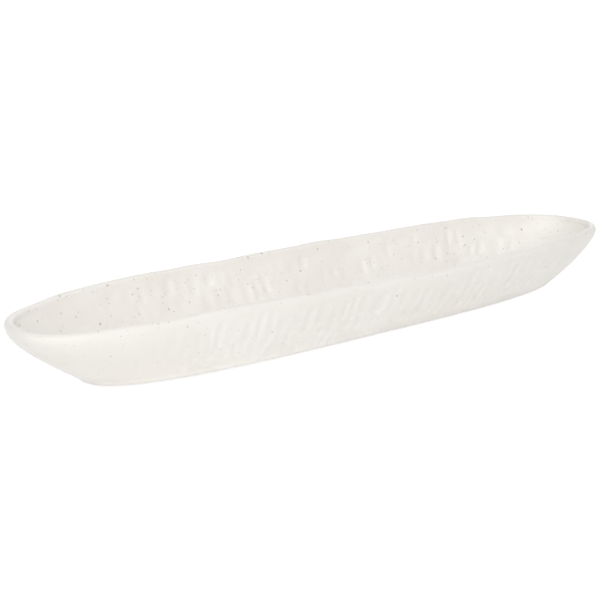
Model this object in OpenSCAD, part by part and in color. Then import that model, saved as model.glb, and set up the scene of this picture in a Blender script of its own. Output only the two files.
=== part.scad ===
// Asparagus plate: a long boat-shaped stoneware dish under a coat of glaze, with a bare foot ring.
// X runs along the dish, +Z is up, and the foot ring stands on z = 0 about the origin.
// All lengths are in millimetres.

/* [Outline] */
// Length over the lip
rim_l = 420; // [340:1:460]
// Width over the lip
rim_w = 100; // [84:1:130]
// Length of the base, on the centre line of the wall
base_l = 332; // [270:1:360]
// Width of the base, on the centre line of the wall
base_w = 57; // [48:1:72]
// Fullness of the outline: 2 is an ellipse, more is squarer
plan_power = 2.8; // [2.2:0.1:3.4]

/* [Wall] */
// Height of the lip at the middle of the dish
dish_h = 39.5; // [32:0.5:56]
// Thickness of the glazed wall, which is also the lip's rolled width
wall_t = 5; // [4:0.1:6.5]
// Thickness of the glazed floor, above the well inside the foot ring
floor_t = 6; // [5:0.1:8]
// How far the wall bows out between base and lip: 0 is straight
bow_share = 0.6; // [0.2:0.05:0.8]
// How far it bows out at the tips of the two ends
end_bow_share = 0.45; // [0.2:0.05:0.45]
// How far the wall stands up to a collar under the lip at the tips: 0 is no collar
collar_share = 0.55; // [0:0.05:0.55]
// Length of the bend from the base into the wall, on either side of the corner
base_round = 3; // [2:0.5:4]
// Length of the bend from the floor into the wall, on either side of the corner
floor_round = 12; // [6:1:16]

/* [Lip] */
// How much lower the lip is at the two ends than at the middle
end_drop = 1; // [0:0.1:4]
// Height of a full rise of the hand-shaped lip
rim_lift = 1.2; // [0:0.1:2]
// Half length of one rise or dip
lift_reach = 26; // [18:1:40]

/* [Glaze and foot] */
// Thickness of the glaze
glaze_t = 0.4; // [0.2:0.05:0.8]
// Height of the foot ring below the glazed base
foot_h = 1.5; // [1:0.1:3]
// Width of the face that the foot ring stands on
foot_w = 5; // [3:0.5:6]
// Distance from the base's centre line in to the foot ring
foot_inset = 4; // [3:0.5:6]
// Bare margin between the foot ring and the glaze on either side of it
bare_margin = 0.8; // [0.4:0.1:1.2]

/* [Hidden] */

// Rises and dips of the lip: place along half the length, side (1 is +Y, -1 is -Y), share of rim_lift
lift_shares = [
    [-1.0, 1, -0.7],
    [-0.65, 1, 0.7],
    [-0.23, 1, -0.7],
    [0.29, 1, -0.3],
    [0.6, 1, 0.4],
    [0.97, 1, -1.1],
    [-1.0, -1, -0.8],
    [-0.72, -1, 0.4],
    [-0.53, -1, 1.4],
    [-0.36, -1, 1.2],
    [-0.16, -1, 0.5],
    [0.14, -1, -1.2],
    [0.74, -1, -0.3],
];

// How late the ends' own form sets in along the dish, and how late the collar does up the wall
end_power = 8;
collar_power = 4;

// Columns round the dish, and rows up each part of the section
columns = 84;
bend_rows = 3;
outer_rows = 7;
lip_rows = 6;
inner_rows = 5;
floor_rows = 4;

// Where the slope of the wall is read for its bends, as a share of its height
bend_slope_share = 0.05;
// Step for reading the slope of the surface, in degrees and as a share of the height
turn_step = 0.1;
step_share = 0.001;

// Depth that the foot ring's root reaches up into the floor
foot_root = 1;

half_wall = wall_t / 2;
floor_z = foot_h + floor_t;
turns = [for (i = [0 : columns - 1]) 360 * i / columns];
down = [0, 0, -1];

glaze_colour = "#EEEBE4";
clay_colour = "#D9CDBB";

function unit(v) = v / norm(v);

// Outline of the dish in plan

// The point of a squared ellipse in a direction, with its half length and half width
function plan_point(half_l, half_w, turn) =
    let (across = pow(abs(cos(turn)), plan_power) + pow(abs(sin(turn)), plan_power))
    [half_l * cos(turn), half_w * sin(turn)] * pow(across, -1 / plan_power);

function lip_point(turn) = plan_point(rim_l / 2 - half_wall, rim_w / 2 - half_wall, turn);

// A point of the base's outline, drawn in by an inset
function inset_point(inset, turn) = plan_point(base_l / 2 - inset, base_w / 2 - inset, turn);
function inset_outline(inset) = [for (turn = turns) inset_point(inset, turn)];

// Lip

// How much one rise lifts the lip, fading along the dish and towards the other side
function one_lift(row, turn) =
    let (place = (lip_point(turn).x - row[0] * rim_l / 2) / lift_reach)
    row[2] * rim_lift * exp(-place * place) * (1 + row[1] * sin(turn)) / 2;

function lifted(turn, i = 0) =
    i < len(lift_shares) ? one_lift(lift_shares[i], turn) + lifted(turn, i + 1) : 0;

// Share of the way along the lip from the middle of the dish to the tip of an end
function end_share(turn) = abs(lip_point(turn).x) / (rim_l / 2 - half_wall);

function lip_height(turn) = dish_h - end_drop * pow(end_share(turn), 2) + lifted(turn);

// Centre surface of the wall

// Height from the base to the lip's centre
function rise(turn) = lip_height(turn) - half_wall - foot_h;

// Share of the way out from the base's outline to the lip's, at a share of the height
function way_out(turn, share) =
    let (end_part = pow(end_share(turn), end_power))
    let (bow = bow_share + (end_bow_share - bow_share) * end_part)
    let (collar = collar_share * end_part * pow(share, collar_power))
    share + (bow * share + collar) * (1 - share);

function wall_centre(turn, share) =
    let (from = inset_point(0, turn))
    let (plan = from + (lip_point(turn) - from) * way_out(turn, share))
    [plan.x, plan.y, foot_h + share * rise(turn)];

function wall_along(turn, share) =
    unit(wall_centre(turn + turn_step, share) - wall_centre(turn - turn_step, share));

function wall_up(turn, share) =
    unit(wall_centre(turn, share + step_share) - wall_centre(turn, share - step_share));

function wall_out(turn, share) = unit(cross(wall_along(turn, share), wall_up(turn, share)));

// Glazed skin, as rows of [point, way out of the skin]

// side is 1 on the outside of the dish and -1 on the inside
function wall_skin(turn, share, side) =
    let (out = side * wall_out(turn, share))
    [wall_centre(turn, share) + half_wall * out, out];

// A point of the bend between the wall and a level face, from 0 on the wall to 1 on the face
function bend_skin(turn, share, side, level, face_out, along_share) =
    let (start = wall_skin(turn, share, side))
    let (up = wall_up(turn, share))
    let (leg = (start[0].z - level) / up.z)
    let (corner = start[0] - leg * up)
    let (end = corner - leg * unit([up.x, up.y, 0]))
    let (back = 1 - along_share)
    [
        back * back * start[0] + 2 * back * along_share * corner + along_share * along_share * end,
        unit(back * start[1] + along_share * face_out)
    ];

// Heights where the bends leave the wall
function base_share(turn) =
    let (up = wall_up(turn, bend_slope_share), out = wall_out(turn, bend_slope_share))
    (base_round * up.z - half_wall * out.z) / rise(turn);

function floor_share(turn) =
    let (up = wall_up(turn, bend_slope_share), out = wall_out(turn, bend_slope_share))
    (floor_t + floor_round * up.z + half_wall * out.z) / rise(turn);

// The rolled lip, from 0 at the outer wall to 1 at the inner wall
function lip_skin(turn, over_share) =
    let (out = wall_out(turn, 1))
    let (up = cross(out, wall_along(turn, 1)))
    let (way = cos(180 * over_share) * out + sin(180 * over_share) * up)
    [wall_centre(turn, 1) + half_wall * way, way];

// The edge of the glaze under the base
function glaze_edge(turn) =
    let (plan = inset_point(foot_inset - bare_margin, turn))
    [[plan.x, plan.y, foot_h], down];

// One column of the skin: from the glaze's edge under the base, up and over the lip, to the floor
function skin_column(turn) =
    let (low = base_share(turn), high = floor_share(turn))
    [
        glaze_edge(turn),
        for (i = [bend_rows : -1 : 1]) bend_skin(turn, low, 1, foot_h, down, i / bend_rows),
        for (i = [0 : outer_rows - 1]) wall_skin(turn, low + (1 - low) * i / outer_rows, 1),
        for (i = [0 : lip_rows]) lip_skin(turn, i / lip_rows),
        for (i = [1 : inner_rows]) wall_skin(turn, 1 + (high - 1) * i / inner_rows, -1),
        for (i = [1 : floor_rows]) bend_skin(turn, high, -1, floor_z, -down, i / floor_rows)
    ];

skin = [for (turn = turns) skin_column(turn)];
rows = len(skin[0]);

// The skin's points, sunk by a depth, row after row
function skin_points(depth) = [
    for (j = [0 : rows - 1])
        for (i = [0 : columns - 1])
            skin[i][j][0] - depth * skin[i][j][1]
];

// Faces between the rows of a skin, each cut along one diagonal
function skin_faces(first = 0) = [
    for (j = [0 : rows - 2])
        for (i = [0 : columns - 1])
            let (a = first + j * columns + i, b = first + j * columns + (i + 1) % columns)
            each [[a, a + columns, b], [b, a + columns, b + columns]]
];

// Level faces across the dish, from each point of a row to the one across from it
function across_faces(first) = [
    for (i = [0 : columns / 2 - 1])
        let (a = first + i, b = first + i + 1)
        let (c = first + columns - i - 1, d = first + (columns - i) % columns)
        each i == 0 ? [[a, c, b]] : b == c ? [[a, d, b]] : [[a, d, b], [b, d, c]]
];

// Faces that close the gap between two skins along a row
function edge_faces(outer, inner) = [
    for (i = [0 : columns - 1])
        let (k = (i + 1) % columns)
        each [[outer + i, outer + k, inner + i], [outer + k, inner + k, inner + i]]
];

function flipped(faces) = [for (f = faces) [f[0], f[2], f[1]]];

module foot_ring() {
    linear_extrude(foot_h + glaze_t + foot_root)
        difference() {
            polygon(inset_outline(foot_inset));
            polygon(inset_outline(foot_inset + foot_w));
        }
}

// Fired stoneware: floor, wall and lip, with the foot ring fused under the floor
module clay_body() {
    last = (rows - 1) * columns;
    color(clay_colour)
        union() {
            polyhedron(
                skin_points(glaze_t),
                concat(skin_faces(), across_faces(last), flipped(across_faces(0)))
            );
            foot_ring();
        }
}

// One unbroken coat over the outside, the lip and the inside
module glaze_coat() {
    inner = rows * columns;
    last = (rows - 1) * columns;
    color(glaze_colour)
        polyhedron(
            concat(skin_points(0), skin_points(glaze_t)),
            concat(
                skin_faces(),
                across_faces(last),
                flipped(skin_faces(inner)),
                flipped(across_faces(inner + last)),
                edge_faces(0, inner)
            )
        );
}

// Patch of glaze in the well inside the foot ring
module foot_well_glaze() {
    color(glaze_colour)
        translate([0, 0, foot_h])
            linear_extrude(glaze_t)
                polygon(inset_outline(foot_inset + foot_w + bare_margin));
}

clay_body();
glaze_coat();
foot_well_glaze();
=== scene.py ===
# Asparagus plate: a long stoneware dish with carved walls and a speckled glaze, dressed around its frame.
# Lengths are metres. X runs along the dish, +Z is up, and the foot ring stands on z = 0.
import math
from collections import namedtuple
import bpy
import numpy as np
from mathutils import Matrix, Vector


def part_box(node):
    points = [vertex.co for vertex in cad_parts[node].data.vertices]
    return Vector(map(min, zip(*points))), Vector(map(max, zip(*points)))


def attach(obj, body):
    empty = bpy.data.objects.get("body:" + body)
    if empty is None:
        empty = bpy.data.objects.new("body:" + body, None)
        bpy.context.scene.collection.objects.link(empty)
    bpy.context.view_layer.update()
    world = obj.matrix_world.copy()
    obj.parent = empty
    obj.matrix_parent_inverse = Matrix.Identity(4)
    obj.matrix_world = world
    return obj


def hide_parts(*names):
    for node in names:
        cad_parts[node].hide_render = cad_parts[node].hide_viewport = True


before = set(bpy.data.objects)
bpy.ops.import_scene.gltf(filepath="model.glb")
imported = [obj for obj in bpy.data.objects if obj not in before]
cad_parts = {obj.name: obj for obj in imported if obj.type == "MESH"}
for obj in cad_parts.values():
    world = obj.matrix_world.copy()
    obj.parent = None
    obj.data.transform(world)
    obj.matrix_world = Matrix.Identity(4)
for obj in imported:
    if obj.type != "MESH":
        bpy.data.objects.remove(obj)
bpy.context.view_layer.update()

# Sizes read from the frame
coat_low, coat_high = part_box("glaze_coat")
well_low, well_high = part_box("foot_well_glaze")
RIM_L = coat_high.x - coat_low.x
RIM_W = coat_high.y - coat_low.y
FOOT_H = well_low.z
GLAZE_T = well_high.z - well_low.z

# Sizes of the foot, and the base that they are counted in from
FOOT_W = 0.005
FOOT_INSET = 0.004
FOOT_EASE = 0.0006
BARE_MARGIN = 0.0008
WELL_INSET = FOOT_INSET + FOOT_W + BARE_MARGIN
BASE_L = well_high.x - well_low.x + 2 * WELL_INSET
BASE_W = well_high.y - well_low.y + 2 * WELL_INSET

# Sizes of the wall and lip
PLAN_POWER = 2.8
BOW_SHARE = 0.6
END_BOW_SHARE = 0.45
END_POWER = 8
COLLAR_SHARE = 0.55
COLLAR_POWER = 4
WALL_T = 0.005
HALF_WALL = WALL_T / 2
FLOOR_T = 0.006
FLOOR_Z = FOOT_H + FLOOR_T
BASE_ROUND = 0.003
FLOOR_ROUND = 0.012
# Where the slope of the wall is read for its bends, as a share of its height
BEND_SLOPE_SHARE = 0.05
# How far the highest rise of the lip stands over its height at the middle of the dish
HIGHEST_RISE = 0.0016
DISH_H = coat_high.z - HIGHEST_RISE
END_DROP = 0.001
RIM_LIFT = 0.0012
LIFT_REACH = 0.026

# Rises and dips of the lip: place along half the length, side (1 is +Y, -1 is -Y), share of RIM_LIFT
# The shares come from a least-squares fit to the photograph's lip, rounded and partly changed
LIFT_SHARES = [
    (-1.0, 1, -0.7), (-0.65, 1, 0.7), (-0.23, 1, -0.7), (0.29, 1, -0.3), (0.6, 1, 0.4), (0.97, 1, -1.1),
    (-1.0, -1, -0.8), (-0.72, -1, 0.4), (-0.53, -1, 1.4), (-0.36, -1, 1.2), (-0.16, -1, 0.5),
    (0.14, -1, -1.2), (0.74, -1, -0.3),
]

# Fine ripple of the lip: waves round the dish, height, phase in radians
# The phases come from a search for a ripple that doesn't stand over the highest rise
LIP_RIPPLES = [(15, 0.0001, 3.9), (21, 0.00016, 0.3), (29, 0.00008, 2.1)]

# On the near side, though not at the tips, the lip is rounder outside, and most so towards the left end:
# how far from the middle that is full and its share elsewhere, how soon it sets in round the dish (as a sine)
# and how late it ends at the tips
SOFT_FULL = 0.12
SOFT_SHARE = 0.4
SOFT_SINE = 0.3
SOFT_END_POWER = 24
# How far down the wall it eases in, and how far its crest moves inwards and down
LIP_EASE = 0.004
CREST_SHIFT = 0.0012
CREST_SINK = 0.00035

# Rounded edges of the glaze, as steps back from the edge and down to its face, in thicknesses of the glaze
EDGE_STEPS = [(0.0, 0.0), (0.12, 0.6), (0.45, 0.92), (1.0, 1.0)]
WELL_STEPS = [(0.0, 0.0), (0.1, 0.6), (0.45, 0.92), (1.0, 1.0), (6.0, 1.0), (20.0, 0.97)]
# Wander of the edge under the base: share of the bare margin, waves round the dish, phase in radians
EDGE_WANDERS = [(0.35, 9, 0.8), (0.25, 23, 0.0)]

# The floor's rows draw in towards a spine along this share of its length, and stop at this share of the way
SPINE_SHARE = 0.9
SPINE_STOP = 0.97

# Columns round the dish, and rows up each part of the carved skin and of the smooth forms under it
SKIN_COLUMNS = 960
CLAY_COLUMNS = 320
SKIN_ROWS = {"bends": 7, "outer": 54, "lip": 20, "inner": 42, "floor": 10}
CORE_ROWS = {"bends": 3, "outer": 10, "lip": 8, "inner": 8, "floor": 1}

# Camera, from matching the dish's outline in the 600 x 600 photograph; the sensor is in millimetres
IMAGE_PIXELS = 600
FOCAL_PIXELS = 1201
SENSOR_MM = 36.0
CAMERA_AZIMUTH = math.radians(-37.57)
CAMERA_ELEVATION = math.radians(16.0)
CAMERA_DISTANCE = 0.7
CAMERA_TARGET = Vector((-0.0288, 0.0051, 0.019))


def unit(v):
    return v / np.linalg.norm(v, axis=-1, keepdims=True)


def smooth_step(value, low, high):
    """0 below low, 1 above high, and a soft ramp between them."""
    t = np.clip((value - low) / (high - low), 0, 1)
    return t * t * (3 - 2 * t)


# Form of the dish


def plan_point(half_l, half_w, turn):
    """A point of a squared ellipse in each direction."""
    across = np.abs(np.cos(turn)) ** PLAN_POWER + np.abs(np.sin(turn)) ** PLAN_POWER
    reach = across ** (-1 / PLAN_POWER)
    return np.stack([half_l * np.cos(turn) * reach, half_w * np.sin(turn) * reach], -1)


def lip_plan(turn):
    return plan_point(RIM_L / 2 - HALF_WALL, RIM_W / 2 - HALF_WALL, turn)


def inset_plan(inset, turn):
    """The base's outline, drawn in by an inset."""
    return plan_point(BASE_L / 2 - inset, BASE_W / 2 - inset, turn)


PATH_STEPS = 20000
FINE_TURNS = np.linspace(0, 2 * math.pi, PATH_STEPS + 1)
FINE_STEPS = np.linalg.norm(np.diff(lip_plan(FINE_TURNS), axis=0), axis=1)
FINE_PATH = np.concatenate([[0], np.cumsum(FINE_STEPS)])
LIP_PATH = FINE_PATH[-1]


def path_of(turn):
    """Distance along the lip."""
    return np.interp(turn % (2 * math.pi), FINE_TURNS, FINE_PATH)


def even_turns(count):
    """Directions that are evenly spaced along the lip."""
    return np.interp(np.arange(count) * LIP_PATH / count, FINE_PATH, FINE_TURNS)


def end_share(turn):
    """Share of the way along the lip from the middle of the dish to the tip of an end."""
    return np.abs(lip_plan(turn)[:, 0]) / (RIM_L / 2 - HALF_WALL)


def lip_height(turn):
    height = DISH_H - END_DROP * end_share(turn) ** 2
    for place, side, share in LIFT_SHARES:
        reach = (lip_plan(turn)[:, 0] - place * RIM_L / 2) / LIFT_REACH
        height = height + share * RIM_LIFT * np.exp(-reach * reach) * (1 + side * np.sin(turn)) / 2
    for waves, rise, phase in LIP_RIPPLES:
        height = height + rise * np.cos(waves * path_of(turn) / LIP_PATH * 2 * math.pi + phase)
    return height


def wall_rise(turn):
    """Height from the base to the lip's centre."""
    return lip_height(turn) - HALF_WALL - FOOT_H


def way_out(turn, share):
    """Share of the way out from the base's outline to the lip's, at a share of the height."""
    end_part = end_share(turn) ** END_POWER
    bow = BOW_SHARE + (END_BOW_SHARE - BOW_SHARE) * end_part
    collar = COLLAR_SHARE * end_part * share ** COLLAR_POWER
    return share + (bow * share + collar) * (1 - share)


def wall_centre(turn, share):
    """The middle of the wall's thickness, from share 0 at the base to 1 at the lip."""
    base = inset_plan(0, turn)
    plan = base + (lip_plan(turn) - base) * way_out(turn, share)[:, None]
    return np.column_stack([plan, FOOT_H + share * wall_rise(turn)])


def wall_frame(turn, share):
    """Unit ways along the dish, up the wall and out of it, read over a small step to either side."""
    step = 0.001
    along = unit(wall_centre(turn + step, share) - wall_centre(turn - step, share))
    up = unit(wall_centre(turn, share + step) - wall_centre(turn, share - step))
    return along, up, unit(np.cross(along, up))


def lip_softness(turn):
    """0 where the lip is a half round, and 1 where it is roundest outside."""
    near = smooth_step(-np.sin(turn), 0, SOFT_SINE) * (1 - end_share(turn) ** SOFT_END_POWER)
    return near * (SOFT_SHARE + (1 - SOFT_SHARE) * smooth_step(-lip_plan(turn)[:, 0], 0, SOFT_FULL))


def outer_half(turn, high):
    """Distance of the outside from the wall's middle, at a height above the lip's centre."""
    soft = lip_softness(turn)
    ease, shift = soft * LIP_EASE, soft * CREST_SHIFT
    rising = np.clip((high + ease) / (HALF_WALL + ease), 0, 1)
    return (HALF_WALL + shift) * np.sqrt(1 - rising ** 2) - shift


class Row:
    """One ring of the skin: its points, the ways out of it, and where it is on the wall."""

    def __init__(self, zone, point, out, share):
        self.zone = zone
        self.point = point
        self.out = out
        self.share = np.broadcast_to(share, len(point))


def level(turn, z):
    """An even way up or down for every direction."""
    return np.tile([0.0, 0.0, z], (len(turn), 1))


def wall_row(turn, share, side, zone):
    """A ring of the wall's skin; side is 1 on the outside and -1 on the inside."""
    out = side * wall_frame(turn, share)[2]
    centre = wall_centre(turn, share)
    below = np.linalg.norm(wall_centre(turn, np.ones(len(turn))) - centre, axis=1)
    half = outer_half(turn, -below) if side > 0 else np.full(len(turn), HALF_WALL)
    return Row(zone, centre + half[:, None] * out, out, share)


def bend_row(turn, share, side, plane, along_share, zone):
    """Part of the bend between the wall and a level face, from 0 on the wall to 1 on the face."""
    start = wall_row(turn, share, side, zone)
    up = wall_frame(turn, share)[1]
    leg = ((start.point[:, 2] - plane) / up[:, 2])[:, None]
    corner = start.point - leg * up
    end = corner - leg * unit(up * [1, 1, 0])
    back = 1 - along_share
    point = back * back * start.point + 2 * back * along_share * corner + along_share ** 2 * end
    out = unit(back * start.out + along_share * level(turn, -side))
    return Row(zone, point, out, share * back)


def lip_row(turn, over_share):
    """Part of the rolled lip, from 0 at the outer wall to 1 at the inner wall; its inner half is the brim."""
    top = np.ones(len(turn))
    along, _, out = wall_frame(turn, top)
    up = np.cross(out, along)
    angle = math.pi * over_share
    way = math.cos(angle) * out + math.sin(angle) * up
    soft = lip_softness(turn)
    zone = "lip" if over_share <= 0.5 else "brim"
    if zone == "lip":
        aside = outer_half(turn, np.full(len(turn), HALF_WALL * math.sin(angle)))
    else:
        aside = (HALF_WALL - soft * CREST_SHIFT) * math.cos(angle) - soft * CREST_SHIFT
    high = (HALF_WALL - soft * CREST_SINK) * math.sin(angle)
    return Row(zone, wall_centre(turn, top) + aside[:, None] * out + high[:, None] * up, way, 1.0)


def bend_shares(turn):
    """Where on the wall the base's bend and the floor's bend begin."""
    _, up, out = wall_frame(turn, np.full(len(turn), BEND_SLOPE_SHARE))
    rise = wall_rise(turn)
    low = (BASE_ROUND * up[:, 2] - HALF_WALL * out[:, 2]) / rise
    high = (FLOOR_Z - FOOT_H + FLOOR_ROUND * up[:, 2] + HALF_WALL * out[:, 2]) / rise
    return low, high


def floor_row(last, inward):
    """The floor drawn in from its edge towards a spine along the middle of the dish."""
    spine = last.point * [SPINE_SHARE, 0, 1]
    return Row("floor", last.point + (spine - last.point) * inward, last.out, 0.0)


def edge_rows(turn):
    """The rounded end of the glaze under the base, which wanders a little."""
    wander = sum(share * BARE_MARGIN * np.sin(waves * turn + phase) for share, waves, phase in EDGE_WANDERS)
    rows = []
    for back, drop in EDGE_STEPS:
        inset = FOOT_INSET - BARE_MARGIN + wander - back * GLAZE_T
        plan = np.stack([
            (BASE_L / 2 - inset) / (BASE_L / 2) * inset_plan(0, turn)[:, 0],
            (BASE_W / 2 - inset) / (BASE_W / 2) * inset_plan(0, turn)[:, 1],
        ], -1)
        point = np.column_stack([plan, np.full(len(turn), FOOT_H + GLAZE_T * (1 - drop))])
        rows.append(Row("edge", point, level(turn, -1), 0.0))
    return rows


def skin_rows(turn, bends, outer, lip, inner, floor):
    """The smooth skin, from the glaze's edge under the base, up and over the lip, to the floor."""
    low, high = bend_shares(turn)
    rows = edge_rows(turn)
    rows += [bend_row(turn, low, 1, FOOT_H, 1 - i / bends, "base") for i in range(bends)]
    rows += [wall_row(turn, low + (1 - low) * i / outer, 1, "outer") for i in range(outer)]
    rows += [lip_row(turn, i / lip) for i in range(lip + 1)]
    rows += [wall_row(turn, 1 + (high - 1) * i / inner, -1, "inner") for i in range(1, inner + 1)]
    rows += [bend_row(turn, high, -1, FLOOR_Z, i / bends / 2, "inner") for i in range(1, 2 * bends + 1)]
    last = rows[-1]
    rows += [floor_row(last, SPINE_STOP * i / floor) for i in range(1, floor + 1)]
    return rows


# Carving

STROKE_DEPTH = 0.00078
DAB_DEPTH = 0.0007
DENT_DEPTH = 0.0002
FLOOR_DEPTH = 0.00012

# Strokes open like a fan from a place along each side, by so much of their distance for each metre of height
FAN_PLACE = 0.01
FAN_OPENING = 4.2
# Each stroke is about this share wider than the one before it along the dish
PITCH_GROWTH = 0.013
# How far strokes waver aside, as a share of their pitch, over what lengths, and how steeply in radians
WAVER_SHARE = 0.25
WAVER_LENGTHS = (0.031, 0.047, 0.073)
WAVER_STEEPEST = 0.3
# Strokes of a band before they repeat, how unevenly faint and deep ones are mixed, how uneven their two ends
# are and how far each end fades, as shares of the wall's height
STROKE_KINDS = 256
DEPTH_POWER = 1.5
END_UNEVEN = 0.08
START_FADE = 0.1
STOP_FADE = 0.2

# A band of strokes up a wall: their pitch, where they start and stop as shares of its height, how creased the
# ridges between them are, the faintest stroke's share of the depth, and the seed of its chances
Band = namedtuple("Band", "pitch low high crease faintest seed")
OUTER_UPPER = Band(pitch=0.0102, low=0.46, high=0.94, crease=0.4, faintest=0.35, seed=23)
OUTER_MIDDLE = Band(pitch=0.0096, low=0.24, high=0.62, crease=0.4, faintest=0.35, seed=11)
OUTER_LOWER = Band(pitch=0.009, low=0.04, high=0.4, crease=0.4, faintest=0.25, seed=17)
INNER_UPPER = Band(pitch=0.0125, low=0.58, high=0.95, crease=0.0, faintest=0.08, seed=53)
INNER_MIDDLE = Band(pitch=0.0118, low=0.32, high=0.72, crease=0.0, faintest=0.08, seed=43)
INNER_LOWER = Band(pitch=0.0125, low=0.04, high=0.46, crease=0.0, faintest=0.08, seed=37)

# Stretches along each side where strokes set in, die out and grow deeper, and by what share they grow
OUTER_SETS_IN = (-0.17, -0.14)
OUTER_DIES_OUT = (0.13, 0.165)
OUTER_DEEPENS = (-0.12, 0.06)
OUTER_DEEPER = 0.75
LOWER_DIES_OUT = (-0.06, 0.0)
INNER_SETS_IN = (-0.165, -0.12)
INNER_DIES_OUT = (0.18, 0.205)
INNER_DEEPENS = (0.1, 0.14)
INNER_DEEPER = 0.5

# Dents inside: their lengths, steepest slant in radians and seed, and where up the wall they set in and die
# out, as shares of its height
DENT_LENGTHS = (0.014, 0.019, 0.026, 0.037)
DENT_STEEPEST = 1.3
DENT_SEED = 41
DENT_SETS_IN = (0.0, 0.3)
DENT_DIES_OUT = (0.8, 0.97)

# Waves of the floor: lengths for a turn of one radian along, across and on the slant, and the phase along
FLOOR_ALONG = 0.021
FLOOR_ACROSS = 0.009
FLOOR_SLANT = 0.043
FLOOR_PHASE = 1.1

# Painted light and the bead low on the near side towards the left end: how far up the wall they reach, and
# where they are full and gone along and across the dish
BEAD_AND_LIGHT_HEIGHT = 0.02
BEAD_AND_LIGHT_FULL_X = -0.11
BEAD_AND_LIGHT_GONE_X = 0.03
BEAD_AND_LIGHT_FULL_Y = -0.01
BEAD_AND_LIGHT_GONE_Y = 0.006
# The bead along the base's edge: its height, and how far it stands out
BEAD_HEIGHT = 0.0045
BEAD_RISE = 0.0008


def side_run(turn):
    """Distance along the lip from the middle of its side, growing with x."""
    path = path_of(turn)
    return np.where(path < LIP_PATH / 2, LIP_PATH / 4 - path, path - 3 * LIP_PATH / 4)


def waver(turn, height, lengths, steepest, seed):
    """Soft uneven waves over the wall, mostly between -1 and 1."""
    rng = np.random.default_rng(seed)
    round_dish = 2 * math.pi * path_of(turn) / LIP_PATH
    total = 0
    for length in lengths:
        angle = rng.uniform(-steepest, steepest)
        waves = round(LIP_PATH * math.cos(angle) / length)
        climb = 2 * math.pi * math.sin(angle) / length
        total = total + np.sin(waves * round_dish + climb * height + rng.uniform(0, 2 * math.pi))
    return total / math.sqrt(len(lengths))


def strokes(turn, height, share, band):
    """A band of scooped strokes up the wall, 1 at their deepest and 0 on the ridges between them."""
    rng = np.random.default_rng(band.seed)
    fanned = (side_run(turn) - FAN_PLACE) * (1 + FAN_OPENING * height)
    place = np.log(1 + PITCH_GROWTH * fanned / band.pitch) / PITCH_GROWTH
    place = place + WAVER_SHARE * waver(turn, height, WAVER_LENGTHS, WAVER_STEEPEST, band.seed + 1)
    first = np.where(turn < math.pi, STROKE_KINDS // 4, 3 * STROKE_KINDS // 4)
    index = (np.floor(place).astype(int) + first) % STROKE_KINDS
    scoop = np.cos(math.pi * (place - np.floor(place) - 0.5))
    scoop = band.crease * scoop + (1 - band.crease) * scoop * scoop
    depth = band.faintest + (1 - band.faintest) * rng.uniform(0, 1, STROKE_KINDS)[index] ** DEPTH_POWER
    start = band.low + rng.uniform(-END_UNEVEN, END_UNEVEN, STROKE_KINDS)[index]
    stop = band.high + rng.uniform(-END_UNEVEN, END_UNEVEN, STROKE_KINDS)[index]
    window = smooth_step(share, start, start + START_FADE) * (1 - smooth_step(share, stop - STOP_FADE, stop))
    return depth * window * scoop


def outer_strokes(turn, height, share):
    """Crisp slanted strokes on the outside, which reach further down towards the left end."""
    run = side_run(turn)
    upper = strokes(turn, height, share, OUTER_UPPER)
    middle = strokes(turn, height, share, OUTER_MIDDLE)
    lower = strokes(turn, height, share, OUTER_LOWER) * (1 - smooth_step(run, *LOWER_DIES_OUT))
    carved = smooth_step(run, *OUTER_SETS_IN) * (1 - smooth_step(run, *OUTER_DIES_OUT))
    deeper = 1 + OUTER_DEEPER * smooth_step(run, *OUTER_DEEPENS)
    return carved * deeper * np.maximum(np.maximum(upper, middle), lower)


def inner_dabs(turn, height, share):
    """Soft dabs of a thumb on the inside, some deep and most faint."""
    run = side_run(turn)
    upper = strokes(turn, height, share, INNER_UPPER)
    middle = strokes(turn, height, share, INNER_MIDDLE)
    lower = strokes(turn, height, share, INNER_LOWER)
    carved = smooth_step(run, *INNER_SETS_IN) * (1 - smooth_step(run, *INNER_DIES_OUT))
    deeper = 1 + INNER_DEEPER * smooth_step(run, *INNER_DEEPENS)
    return carved * deeper * np.maximum(np.maximum(upper, middle), lower)


def bead_and_painted_light(row):
    """1 low on the outside of the near side towards the left end, where the bead lies and the glaze is
    painted paler as painted light, and 0 elsewhere.
    """
    x, y, z = row.point.T
    left = 1 - smooth_step(x, BEAD_AND_LIGHT_FULL_X, BEAD_AND_LIGHT_GONE_X)
    near = 1 - smooth_step(y, BEAD_AND_LIGHT_FULL_Y, BEAD_AND_LIGHT_GONE_Y)
    low = 1 - smooth_step(z, FOOT_H, FOOT_H + BEAD_AND_LIGHT_HEIGHT)
    return left * near * low if row.zone in ("edge", "base", "outer") else np.zeros(len(x))


def bead(row):
    """How far the bead along the base's edge stands out."""
    up = np.clip((row.point[:, 2] - FOOT_H) / BEAD_HEIGHT, 0, 1)
    return BEAD_RISE * np.sin(math.pi * up) ** 2 * bead_and_painted_light(row)


def carving(row, turn):
    """How far the carving and the bead move a row of the skin along its way out."""
    height = row.share * wall_rise(turn)
    if row.zone == "base":
        return bead(row)
    if row.zone == "outer":
        return bead(row) - STROKE_DEPTH * outer_strokes(turn, height, row.share)
    if row.zone == "inner":
        dents = waver(turn, height, DENT_LENGTHS, DENT_STEEPEST, DENT_SEED)
        window = smooth_step(row.share, *DENT_SETS_IN) * (1 - smooth_step(row.share, *DENT_DIES_OUT))
        return -DAB_DEPTH * inner_dabs(turn, height, row.share) + DENT_DEPTH * window * dents
    if row.zone == "floor":
        x, y = row.point[:, 0], row.point[:, 1]
        along = np.sin(x / FLOOR_ALONG + FLOOR_PHASE)
        return FLOOR_DEPTH * along * np.cos(y / FLOOR_ACROSS + x / FLOOR_SLANT)
    return np.zeros(len(turn))


# Meshes


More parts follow.
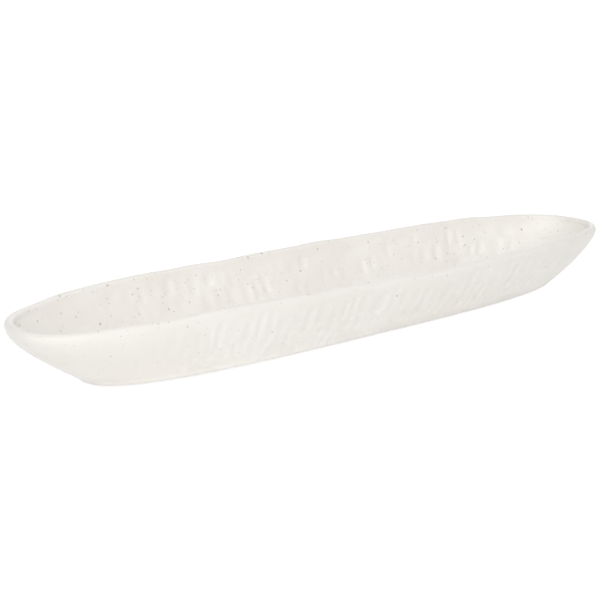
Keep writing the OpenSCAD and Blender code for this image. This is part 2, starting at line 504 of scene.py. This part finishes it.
def ring_faces(rows, columns, first=0, outward=True):
    """Four-sided faces between rings that follow each other."""
    a = first + np.arange((rows - 1) * columns)
    b = a - (a - first) % columns + (a - first + 1) % columns
    quads = np.stack([a, b, b + columns, a + columns], -1)
    return quads.tolist() if outward else quads[:, ::-1].tolist()


def across_faces(columns, first, upward=True):
    """Faces across a level ring, from each point to the one across from it."""
    faces = [[first, first + 1, first + columns - 1]]
    for i in range(1, columns // 2 - 1):
        faces.append([first + i, first + i + 1, first + columns - i - 1, first + columns - i])
    middle = first + columns // 2
    faces.append([middle - 1, middle, middle + 1])
    return faces if upward else [f[::-1] for f in faces]


def joining_faces(outer, inner, columns):
    """Faces between the first rings of an outer and an inner skin."""
    i = np.arange(columns)
    k = (i + 1) % columns
    return np.stack([outer + k, outer + i, inner + i, inner + k], -1).tolist()


def make_piece(name, points, faces, material, node, speckle=1.0, tone_and_painted_light=1.0):
    """One piece of the dish, with how strongly specks show at each point and how pale its glaze is there,
    painted light and shade included.
    """
    mesh = bpy.data.meshes.new(name)
    mesh.from_pydata(points.tolist(), [], faces)
    for key, values in (("speckle", speckle), ("tone_and_painted_light", tone_and_painted_light)):
        attribute = mesh.attributes.new(key, "FLOAT", "POINT")
        attribute.data.foreach_set("value", np.broadcast_to(values, len(points)).astype(np.float32))
    mesh.materials.append(material)
    mesh.shade_smooth()
    mesh.update()
    piece = bpy.data.objects.new(name, mesh)
    bpy.context.scene.collection.objects.link(piece)
    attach(piece, "root")
    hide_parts(node)
    return piece


# How far the smooth core lies under the skin, past the deepest carving, and the share of the wall's height
# over which it sinks to that from the glaze's own thickness
CORE_DEPTH = 0.0016
CORE_EASE = 0.12

# How strongly specks show, zone by zone
SPECKLE = {"edge": 0.58, "base": 0.58, "outer": 0.58, "lip": 0.7, "brim": 0.85, "inner": 1.0, "floor": 1.0}
# How pale the glaze is: paler inside than outside, darker on the lip and brim as painted shade, and darker
# still as painted shade where the lip is rounder
PALENESS_AND_PAINTED_SHADE = {"edge": 0.8, "base": 0.8, "outer": 0.8, "lip": 0.65, "brim": 0.85, "inner": 1.0, "floor": 1.0}
PAINTED_LIP_SHADE = {"edge": 0.0, "base": 0.0, "outer": 0.0, "lip": 0.55, "brim": 0.0, "inner": 0.0, "floor": 0.0}
# Rows over which one zone's level passes into the next
ZONE_SPREAD = 13


def by_row(rows, levels):
    """Levels of the skin's zones, row by row, softened where zones meet."""
    values = np.pad([levels[row.zone] for row in rows], ZONE_SPREAD // 2, mode="edge")
    return np.convolve(values, np.ones(ZONE_SPREAD) / ZONE_SPREAD, mode="valid")


def core_points(turn):
    """The core's rings: at the glaze's thickness under the base, and deeper under the carved walls."""
    points = []
    for row in skin_rows(turn, **CORE_ROWS):
        if row.zone != "edge":
            deeper = smooth_step(row.share, 0.0, CORE_EASE) if row.zone == "base" else 1.0
            depth = GLAZE_T + (CORE_DEPTH - GLAZE_T) * deeper
            points.append(row.point - np.broadcast_to(depth, len(row.point))[:, None] * row.out)
    return points


def glaze_skin(material):
    """The carved coat of glaze: a closed shell over the outside, the lip and the inside."""
    columns = SKIN_COLUMNS
    turn = even_turns(columns)
    rows = skin_rows(turn, **SKIN_ROWS)
    skin = [row.point + carving(row, turn)[:, None] * row.out for row in rows]
    core = core_points(turn)
    split = len(skin) * columns
    faces = ring_faces(len(skin), columns)
    faces += across_faces(columns, split - columns)
    faces += ring_faces(len(core), columns, split, outward=False)
    faces += across_faces(columns, split + (len(core) - 1) * columns, upward=False)
    faces += joining_faces(0, split, columns)
    points = np.concatenate(skin + core)
    speckle = np.outer(by_row(rows, SPECKLE), np.ones(columns))
    tone_and_painted_light = np.outer(by_row(rows, PALENESS_AND_PAINTED_SHADE), np.ones(columns))
    # Painted shade on the lip, deepest where it is roundest
    tone_and_painted_light = tone_and_painted_light - np.outer(by_row(rows, PAINTED_LIP_SHADE), lip_softness(turn))
    # Painted light: paler low on the outside of the near side towards the left end
    tone_and_painted_light = tone_and_painted_light + (1 - tone_and_painted_light) * np.stack([bead_and_painted_light(row) for row in rows])
    under = np.zeros(len(points) - split)
    speckle, tone_and_painted_light = (np.concatenate([values.ravel(), under]) for values in (speckle, tone_and_painted_light))
    return make_piece("glaze_skin", points, faces, material, "glaze_coat", speckle, tone_and_painted_light)


def foot_rows(turn):
    """The clay under the base: across the well, round the foot ring and out to the glaze."""
    roof = FOOT_H + GLAZE_T
    inner, outer = FOOT_INSET + FOOT_W, FOOT_INSET
    profile = [(inner, roof)]
    for angle in np.radians((0, 30, 60, 90)):
        profile.append((inner - FOOT_EASE * (1 - math.cos(angle)), FOOT_EASE * (1 - math.sin(angle))))
    for angle in np.radians((90, 60, 30, 0)):
        profile.append((outer + FOOT_EASE * (1 - math.cos(angle)), FOOT_EASE * (1 - math.sin(angle))))
    profile.append((outer, roof))
    return [np.column_stack([inset_plan(inset, turn), np.full(len(turn), z)]) for inset, z in profile]


def stoneware_body(material):
    """The fired clay under the glaze, with its bare foot ring."""
    turn = even_turns(CLAY_COLUMNS)
    rings = foot_rows(turn) + core_points(turn)
    faces = ring_faces(len(rings), CLAY_COLUMNS)
    faces += across_faces(CLAY_COLUMNS, (len(rings) - 1) * CLAY_COLUMNS)
    faces += across_faces(CLAY_COLUMNS, 0, upward=False)
    return make_piece("stoneware_body", np.concatenate(rings), faces, material, "clay_body")


def foot_well_patch(material):
    """The thin pool of glaze inside the foot ring, with a rounded edge."""
    turn = even_turns(CLAY_COLUMNS)
    rings = []
    for back, drop in WELL_STEPS:
        plan = inset_plan(WELL_INSET + back * GLAZE_T, turn)
        rings.append(np.column_stack([plan, np.full(len(turn), FOOT_H + GLAZE_T * (1 - drop))]))
    faces = ring_faces(len(rings), CLAY_COLUMNS, outward=False)
    faces += across_faces(CLAY_COLUMNS, (len(rings) - 1) * CLAY_COLUMNS, upward=False)
    faces += across_faces(CLAY_COLUMNS, 0)
    return make_piece("foot_well_patch", np.concatenate(rings), faces, material, "foot_well_glaze")


# Materials

GLAZE_LIGHT = (0.895, 0.873, 0.832)
GLAZE_WARM = (0.87, 0.843, 0.795)
# The darker glaze, which the outside leans to and which gives the lip and brim their painted shade
GLAZE_DARK_AND_SHADE = (0.74, 0.712, 0.667)
SPECK_DARK = (0.34, 0.29, 0.24)
SPECK_PALE = (0.42, 0.37, 0.31)
CLAY_LIGHT = (0.62, 0.52, 0.40)
CLAY_DARK = (0.50, 0.40, 0.29)
CLAY_ROUGHNESS = 0.85

# Specks: the spacing of their cells, and the smallest and largest radius
Specks = namedtuple("Specks", "spacing smallest largest")
FINE_SPECKS = Specks(spacing=0.0029, smallest=0.00025, largest=0.00065)
LARGE_SPECKS = Specks(spacing=0.0052, smallest=0.00036, largest=0.00086)
GROG_SPECKS = Specks(spacing=0.0024, smallest=0.0001, largest=0.0004)
# How strongly the faintest and the darkest of them show
FINE_STRENGTHS = (0.14, 0.45)
LARGE_STRENGTHS = (0.16, 0.66)
GROG_STRENGTHS = (0.3, 0.8)
# How far their outlines are bent, how much rarer large ones are, and where their edges end and begin in radii
SPECK_BEND = 0.7
SPECK_POWER = 2.0
SPECK_EDGES = (1.35, 0.5)

# Sizes of the patches of tone, of gloss and of the peel of the glaze, and of the tone and grain of the clay
TONE_SIZE = 0.035
GLOSS_SIZE = 0.011
PEEL_SIZE = 0.0035
CLAY_TONE_SIZE = 0.006
GRAIN_SIZE = 0.0008
# Levels of noise between which a tone or the gloss changes, and the gloss's two roughnesses
TONE_LEVELS = (0.35, 0.65)
GLOSS_LEVELS = (0.3, 0.7)
GLAZE_ROUGHNESSES = (0.33, 0.43)
# Height of the peel and grain, and how strongly each shows
BUMP_HEIGHT = 0.0002
PEEL_STRENGTH = 0.12
GRAIN_STRENGTH = 0.4


class Nodes:
    """A short way to add shader nodes and join them."""

    def __init__(self, name):
        self.material = bpy.data.materials.new(name)
        self.material.use_nodes = True
        self.tree = self.material.node_tree
        self.shader = self.tree.nodes["Principled BSDF"]
        self.place = self.add("ShaderNodeTexCoord").outputs["Object"]

    def add(self, kind, inputs=None, **settings):
        node = self.tree.nodes.new(kind)
        for key, value in settings.items():
            setattr(node, key, value)
        for key, value in (inputs or {}).items():
            self.set(node.inputs[key], value)
        return node

    def set(self, socket, value):
        """Join a socket to another one, or give it a plain value."""
        if isinstance(value, bpy.types.NodeSocket):
            self.tree.links.new(value, socket)
        else:
            socket.default_value = value

    def attribute(self, name):
        return self.add("ShaderNodeAttribute", attribute_name=name).outputs["Fac"]

    def math(self, operation, *values):
        return self.add("ShaderNodeMath", dict(enumerate(values)), operation=operation).outputs[0]

    def noise(self, size, detail):
        inputs = {"Vector": self.place, "Scale": 1 / size, "Detail": detail}
        return self.add("ShaderNodeTexNoise", inputs).outputs["Fac"]

    def ramp(self, value, low, high, to_low=0.0, to_high=1.0):
        inputs = {"Value": value, "From Min": low, "From Max": high, "To Min": to_low, "To Max": to_high}
        return self.add("ShaderNodeMapRange", inputs, interpolation_type="SMOOTHSTEP").outputs["Result"]

    def mix(self, factor, first, second):
        """A mix of two colours, by the colour sockets of a mix node."""
        node = self.add("ShaderNodeMix", {"Factor": factor}, data_type="RGBA")
        for socket, value in ((node.inputs[6], first), (node.inputs[7], second)):
            self.set(socket, value if isinstance(value, bpy.types.NodeSocket) else (*value, 1))
        return node.outputs[2]

    def bump(self, height, strength):
        inputs = {"Height": height, "Strength": strength, "Distance": BUMP_HEIGHT}
        return self.add("ShaderNodeBump", inputs).outputs[0]

    def specks(self, kind, strengths):
        """How strongly uneven dots show: 0 outside them and, inside, a chance level between two strengths."""
        spacing, smallest, largest = kind
        inputs = {"Vector": self.place, "Scale": SPECK_BEND / largest, "Detail": 1.0}
        shift = self.add("ShaderNodeTexNoise", inputs).outputs["Color"]
        inputs = {0: shift, 1: (SPECK_BEND * smallest,) * 3, 2: self.place}
        moved = self.add("ShaderNodeVectorMath", inputs, operation="MULTIPLY_ADD").outputs[0]
        cells = self.add("ShaderNodeTexVoronoi", {"Vector": moved, "Scale": 1 / spacing})
        chance = self.add("ShaderNodeSeparateColor", {"Color": cells.outputs["Color"]})
        size = self.math("POWER", chance.outputs[0], SPECK_POWER)
        radius = self.math("MULTIPLY_ADD", size, (largest - smallest) / spacing, smallest / spacing)
        inside = self.ramp(self.math("DIVIDE", cells.outputs["Distance"], radius), *SPECK_EDGES)
        return self.math("MULTIPLY", inside, self.ramp(chance.outputs[1], 0.0, 1.0, *strengths))


def glaze_material():
    """Satin warm-white glaze over clay whose iron specks melt through it."""
    n = Nodes("speckled_glaze")
    colour = n.mix(n.ramp(n.noise(TONE_SIZE, detail=3.0), *TONE_LEVELS), GLAZE_LIGHT, GLAZE_WARM)
    # Darker on the outside than inside, and darker still on the lip and brim as painted shade; paler low on
    # the near left as painted light
    colour = n.mix(n.attribute("tone_and_painted_light"), GLAZE_DARK_AND_SHADE, colour)
    shown = n.attribute("speckle")
    fine = n.specks(FINE_SPECKS, FINE_STRENGTHS)
    colour = n.mix(n.math("MULTIPLY", fine, shown), colour, SPECK_PALE)
    large = n.specks(LARGE_SPECKS, LARGE_STRENGTHS)
    colour = n.mix(n.math("MULTIPLY", large, shown), colour, SPECK_DARK)
    n.set(n.shader.inputs["Base Color"], colour)
    gloss = n.ramp(n.noise(GLOSS_SIZE, detail=2.0), *GLOSS_LEVELS, *GLAZE_ROUGHNESSES)
    n.set(n.shader.inputs["Roughness"], gloss)
    n.set(n.shader.inputs["Normal"], n.bump(n.noise(PEEL_SIZE, detail=2.0), PEEL_STRENGTH))
    return n.material


def clay_material():
    """Bare buff stoneware, dry and a little sandy."""
    n = Nodes("bare_stoneware")
    colour = n.mix(n.ramp(n.noise(CLAY_TONE_SIZE, detail=4.0), *TONE_LEVELS), CLAY_LIGHT, CLAY_DARK)
    colour = n.mix(n.specks(GROG_SPECKS, GROG_STRENGTHS), colour, SPECK_DARK)
    n.set(n.shader.inputs["Base Color"], colour)
    n.set(n.shader.inputs["Roughness"], CLAY_ROUGHNESS)
    n.set(n.shader.inputs["Normal"], n.bump(n.noise(GRAIN_SIZE, detail=3.0), GRAIN_STRENGTH))
    return n.material


# Stage, light and camera

# Levels are how bright a white face at the origin looks when it is turned to the light
AMBIENT = 0.488
KEY_LEVEL = 0.259
KEY_PLACE = Vector((-0.99, -0.57, 0.61))
FRONT_LEVEL = 0.251
FRONT_PLACE = Vector((0.0, -0.84, 1.0))
LOW_LEVEL = 0.075
LOW_PLACE = Vector((-0.45, -1.18, 0.2))
BACK_LEVEL = 0.09
BACK_PLACE = Vector((0.75, 0.87, 0.6))
LARGE_BOX = 1.2
SMALL_BOX = 0.5
# The floor's half width, how dark its shadows can look, and how much light it throws back at the dish
FLOOR_HALF = 30.0
FLOOR_SHADE = 0.4
FLOOR_WHITE = 0.95
# How far the open floor stands over white, so that noise doesn't grey it
FLOOR_MARGIN = 0.04


def ray_switch(tree):
    """1 for rays that see the background itself, 0 for rays that gather light."""
    path = tree.nodes.new("ShaderNodeLightPath")
    seen = path.outputs["Is Camera Ray"]
    for kind in ("Is Glossy Ray", "Is Transmission Ray"):
        either = tree.nodes.new("ShaderNodeMath")
        either.operation = "MAXIMUM"
        tree.links.new(seen, either.inputs[0])
        tree.links.new(path.outputs[kind], either.inputs[1])
        seen = either.outputs[0]
    return seen


def make_world():
    """White to look at, and an even soft light on the dish."""
    world = bpy.data.worlds.new("studio")
    bpy.context.scene.world = world
    world.use_nodes = True
    tree = world.node_tree
    light = tree.nodes["Background"]
    light.inputs["Strength"].default_value = AMBIENT
    light.inputs["Color"].default_value = (1, 1, 1, 1)
    white = tree.nodes.new("ShaderNodeBackground")
    white.inputs["Color"].default_value = (1, 1, 1, 1)
    mix = tree.nodes.new("ShaderNodeMixShader")
    tree.links.new(ray_switch(tree), mix.inputs[0])
    tree.links.new(light.outputs[0], mix.inputs[1])
    tree.links.new(white.outputs[0], mix.inputs[2])
    tree.links.new(mix.outputs[0], tree.nodes["World Output"].inputs["Surface"])


def floor_material():
    """White that keeps a pale shadow when it is looked at, and throws light back at the dish."""
    material = bpy.data.materials.new("floor_white")
    material.use_nodes = True
    tree = material.node_tree
    tree.nodes.remove(tree.nodes["Principled BSDF"])
    bounce = tree.nodes.new("ShaderNodeBsdfDiffuse")
    bounce.inputs["Color"].default_value = (FLOOR_WHITE, FLOOR_WHITE, FLOOR_WHITE, 1)
    shade = tree.nodes.new("ShaderNodeBsdfDiffuse")
    shade.inputs["Color"].default_value = (FLOOR_SHADE, FLOOR_SHADE, FLOOR_SHADE, 1)
    glow = tree.nodes.new("ShaderNodeEmission")
    glow.inputs["Strength"].default_value = 1 + FLOOR_MARGIN - AMBIENT * FLOOR_SHADE
    seen = tree.nodes.new("ShaderNodeAddShader")
    tree.links.new(shade.outputs[0], seen.inputs[0])
    tree.links.new(glow.outputs[0], seen.inputs[1])
    mix = tree.nodes.new("ShaderNodeMixShader")
    tree.links.new(ray_switch(tree), mix.inputs[0])
    tree.links.new(bounce.outputs[0], mix.inputs[1])
    tree.links.new(seen.outputs[0], mix.inputs[2])
    tree.links.new(mix.outputs[0], tree.nodes["Material Output"].inputs["Surface"])
    return material


def make_floor():
    """One wide level face under the foot ring."""
    mesh = bpy.data.meshes.new("floor")
    corners = [(x * FLOOR_HALF, y * FLOOR_HALF, 0) for x, y in ((-1, -1), (1, -1), (1, 1), (-1, 1))]
    mesh.from_pydata(corners, [], [(0, 1, 2, 3)])
    mesh.materials.append(floor_material())
    floor = bpy.data.objects.new("floor", mesh)
    bpy.context.scene.collection.objects.link(floor)


def aim(thing, place, target):
    """Put a lamp or camera in its place and turn it to a target."""
    thing.location = place
    thing.rotation_mode = "QUATERNION"
    thing.rotation_quaternion = (target - place).to_track_quat("-Z", "Y")


def make_light(name, place, brightness, size):
    """A round soft box turned to the dish."""
    lamp = bpy.data.lights.new(name, "AREA")
    lamp.shape = "DISK"
    lamp.size = size
    lamp.energy = brightness * math.pi ** 2 * (place.length_squared + (size / 2) ** 2)
    thing = bpy.data.objects.new(name, lamp)
    bpy.context.scene.collection.objects.link(thing)
    aim(thing, place, Vector((0, 0, 0)))


def make_camera():
    """The photograph's view."""
    data = bpy.data.cameras.new("camera")
    data.sensor_width = SENSOR_MM
    data.lens = SENSOR_MM * FOCAL_PIXELS / IMAGE_PIXELS
    camera = bpy.data.objects.new("camera", data)
    bpy.context.scene.collection.objects.link(camera)
    a, e = CAMERA_AZIMUTH, CAMERA_ELEVATION
    back = Vector((math.sin(a) * math.cos(e), -math.cos(a) * math.cos(e), math.sin(e)))
    aim(camera, CAMERA_TARGET + CAMERA_DISTANCE * back, CAMERA_TARGET)
    bpy.context.scene.camera = camera


glaze = glaze_material()
glaze_skin(glaze)
foot_well_patch(glaze)
stoneware_body(clay_material())
make_world()
make_floor()
make_light("key", KEY_PLACE, KEY_LEVEL, LARGE_BOX)
make_light("front", FRONT_PLACE, FRONT_LEVEL, LARGE_BOX)
make_light("low", LOW_PLACE, LOW_LEVEL, SMALL_BOX)
make_light("back", BACK_PLACE, BACK_LEVEL, LARGE_BOX)
make_camera()
bpy.context.scene.view_settings.view_transform = "Standard"
